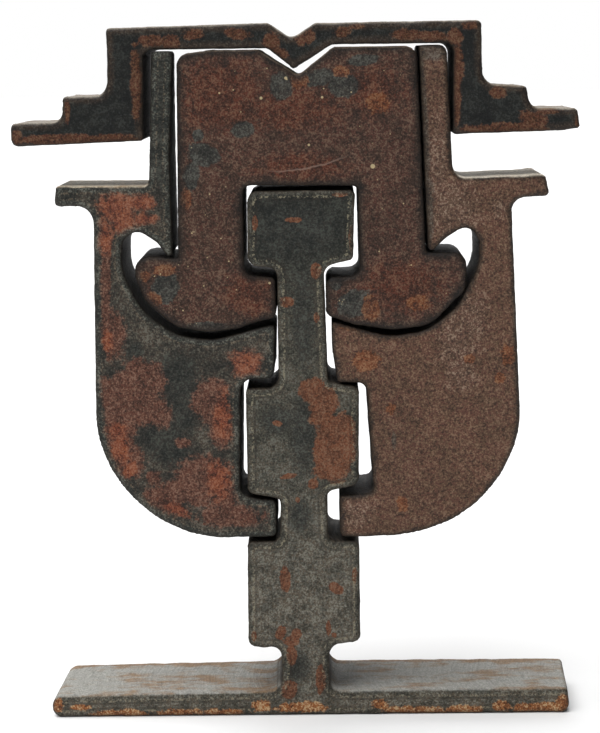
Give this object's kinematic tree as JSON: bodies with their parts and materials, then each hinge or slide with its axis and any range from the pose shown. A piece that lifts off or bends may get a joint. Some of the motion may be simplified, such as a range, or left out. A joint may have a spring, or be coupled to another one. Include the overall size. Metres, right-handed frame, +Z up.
{
  "type": "magnetic desk sculpture",
  "caption": "Abstract hatted face of interlocking thick flame-cut steel plates, held together by inset magnets on a spine with a foot bar.",
  "frame": {"origin": "middle of the bounding box's underside, on the desk", "axes": "+Z up along the spine; X across the face, +X to the right for someone facing it; +Y from the front of the plates to the back"},
  "size_m": [0.2057, 0.0382, 0.2577],
  "materials": {
    "spine_steel": "dark mill scale with rust patches, matt",
    "hat_steel": "near-black mill scale, rusted rims",
    "arch_steel": "fine maroon-brown rust with grey scale patches",
    "left_cheek_steel": "charcoal scale with red-brown rust patches",
    "right_cheek_steel": "even fine brown rust",
    "magnet": "nickel-plated disc magnet, satin"
  },
  "bodies": {
    "stand": {"spine_plate": "spine_steel"},
    "hat": {"hat_plate": "hat_steel", "hat_magnet_left_front": "magnet", "hat_magnet_left_rear": "magnet", "hat_magnet_right_front": "magnet", "hat_magnet_right_rear": "magnet"},
    "arch": {"arch_plate": "arch_steel", "arch_magnet_left_front": "magnet", "arch_magnet_left_rear": "magnet", "arch_magnet_right_front": "magnet", "arch_magnet_right_rear": "magnet"},
    "left_cheek": {"left_cheek_plate": "left_cheek_steel", "left_cheek_magnet_upper_front": "magnet", "left_cheek_magnet_upper_rear": "magnet", "left_cheek_magnet_lower_front": "magnet", "left_cheek_magnet_lower_rear": "magnet"},
    "right_cheek": {"right_cheek_plate": "right_cheek_steel", "right_cheek_magnet_upper_front": "magnet", "right_cheek_magnet_upper_rear": "magnet", "right_cheek_magnet_lower_front": "magnet", "right_cheek_magnet_lower_rear": "magnet"}
  },
  "joints": [
    {"name": "hat_lift", "type": "slide", "parent": "stand", "child": "hat", "axis": [0, 0, 1], "range_m": [0, 0.06]},
    {"name": "arch_slide", "type": "slide", "parent": "stand", "child": "arch", "axis": [0, -1, 0], "range_m": [-0.045, 0.045]},
    {"name": "left_cheek_slide", "type": "slide", "parent": "stand", "child": "left_cheek", "axis": [0, -1, 0], "range_m": [-0.045, 0.045]},
    {"name": "right_cheek_slide", "type": "slide", "parent": "stand", "child": "right_cheek", "axis": [0, -1, 0], "range_m": [-0.045, 0.045]}
  ]
}
